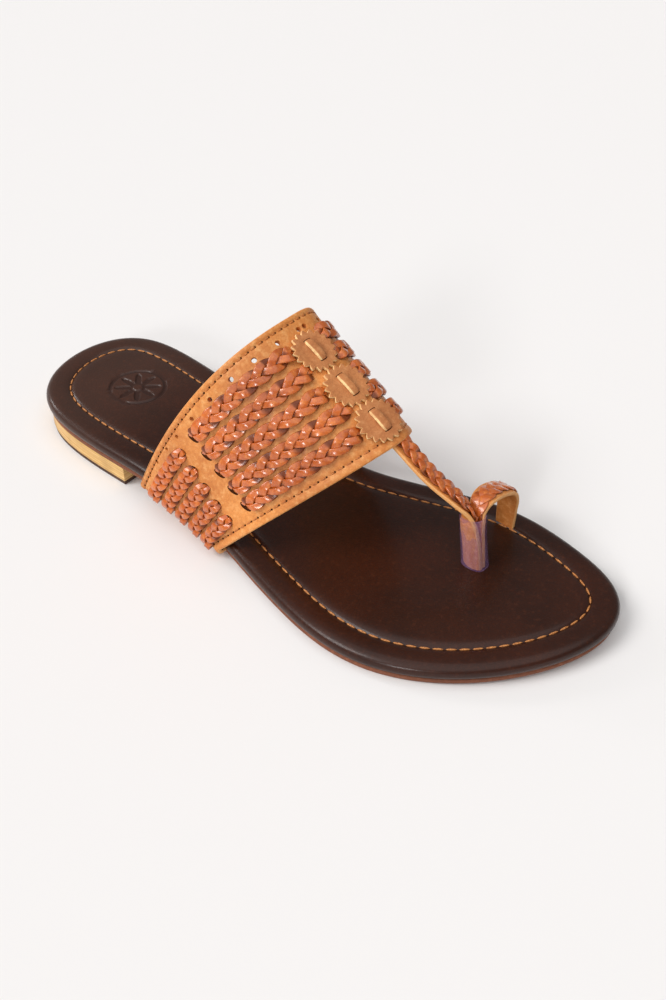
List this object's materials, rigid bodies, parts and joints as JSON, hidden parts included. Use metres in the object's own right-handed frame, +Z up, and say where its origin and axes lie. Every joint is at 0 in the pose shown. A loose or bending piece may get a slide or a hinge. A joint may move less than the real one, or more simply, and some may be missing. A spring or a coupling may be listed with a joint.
{
  "type": "kolhapuri sandal",
  "caption": "Right-foot flat kolhapuri sandal: dark leather footbed, arched tan vamp with plaited trim, T-strap and big-toe loop in a clear sleeve, low gold heel.",
  "frame": {"origin": "centre of the footprint's bounding box on the floor plane", "axes": "+X from heel to toe, +Y to the inner (medial) side of the right foot, +Z up"},
  "size_m": [0.25, 0.0934, 0.08],
  "materials": {
    "footbed": "dark espresso, smooth, soft sheen",
    "outsole": "reddish brown cut edge",
    "vamp": "tan, fine mottled grain, satin",
    "plait": "rust brown, polished",
    "patch": "matte tan with pale cut teeth",
    "heel": "pale satin gold coat over a stacked heel",
    "lift": "matte dark brown",
    "sleeve": "clear flexible tube, faintly violet"
  },
  "bodies": {
    "root": {"heel_lift": "lift", "heel_block": "heel", "outsole": "outsole", "footbed": "footbed", "upper": "vamp", "toe_sleeve": "sleeve", "strap_plait": "plait", "loop_plait": "plait", "plait_outer_1": "plait", "plait_inner_1": "plait", "short_plait_outer_1": "plait", "short_plait_inner_1": "plait", "plait_outer_2": "plait", "plait_inner_2": "plait", "short_plait_outer_2": "plait", "short_plait_inner_2": "plait", "plait_outer_3": "plait", "plait_inner_3": "plait", "short_plait_outer_3": "plait", "short_plait_inner_3": "plait", "plait_outer_4": "plait", "plait_inner_4": "plait", "short_plait_outer_4": "plait", "short_plait_inner_4": "plait", "plait_outer_5": "plait", "plait_inner_5": "plait", "short_plait_outer_5": "plait", "short_plait_inner_5": "plait", "patch_1": "patch", "patch_tab_1": "patch", "patch_2": "patch", "patch_tab_2": "patch", "patch_3": "patch", "patch_tab_3": "patch"}
  },
  "joints": []
}
